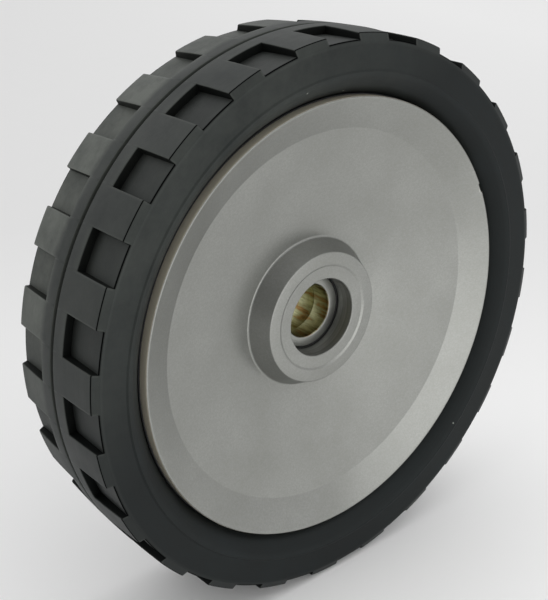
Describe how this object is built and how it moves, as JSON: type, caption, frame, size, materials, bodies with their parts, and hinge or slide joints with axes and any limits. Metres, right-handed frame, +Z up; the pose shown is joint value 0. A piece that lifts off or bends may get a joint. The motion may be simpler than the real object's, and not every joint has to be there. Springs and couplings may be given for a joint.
{
  "type": "wheel",
  "caption": "Garden machine wheel: block-tread rubber tyre on a moulded body with a dished silver cover, tapered boss and sealed ball bearings for a plain axle.",
  "frame": {"origin": "on the spin axis, in the tyre's mid-plane", "axes": "+Y along the spin axis, away from the silver covered face; +Z up; +X to the right of someone who looks at the covered face"},
  "size_m": [0.2, 0.0512, 0.2],
  "materials": {
    "tyre_rubber": "matt moulded rubber",
    "body_plastic": "moulded polypropylene",
    "cover_plastic": "silver metallic moulded plastic",
    "bearing_steel": "ground",
    "zinc_steel": "yellow passivated zinc",
    "seal_rubber": "matt",
    "cage_plastic": "polyamide"
  },
  "bodies": {
    "hub_core": {"front_inner_race": "bearing_steel", "spacer_tube": "zinc_steel", "rear_inner_race": "bearing_steel"},
    "wheel": {"tyre": "tyre_rubber", "wheel_body": "body_plastic", "front_cover": "cover_plastic", "front_outer_race": "bearing_steel", "front_outer_seal": "seal_rubber", "front_inner_seal": "seal_rubber", "rear_outer_race": "bearing_steel", "rear_outer_seal": "seal_rubber", "rear_inner_seal": "seal_rubber"},
    "front_ball_set": {"front_balls": "bearing_steel", "front_cage": "cage_plastic"},
    "rear_ball_set": {"rear_balls": "bearing_steel", "rear_cage": "cage_plastic"}
  },
  "joints": [
    {"name": "wheel_spin", "type": "hinge", "parent": "hub_core", "child": "wheel", "pos_m": [0, 0, 0], "axis": [0, 1, 0], "continuous": true},
    {"name": "front_ball_spin", "type": "hinge", "parent": "hub_core", "child": "front_ball_set", "pos_m": [0, 0, 0], "axis": [0, 1, 0], "continuous": true},
    {"name": "rear_ball_spin", "type": "hinge", "parent": "hub_core", "child": "rear_ball_set", "pos_m": [0, 0, 0], "axis": [0, 1, 0], "continuous": true}
  ],
  "couplings": [
    {"joint": "front_ball_spin", "follows": "wheel_spin", "ratio": 0.5768},
    {"joint": "rear_ball_spin", "follows": "wheel_spin", "ratio": 0.5768}
  ]
}
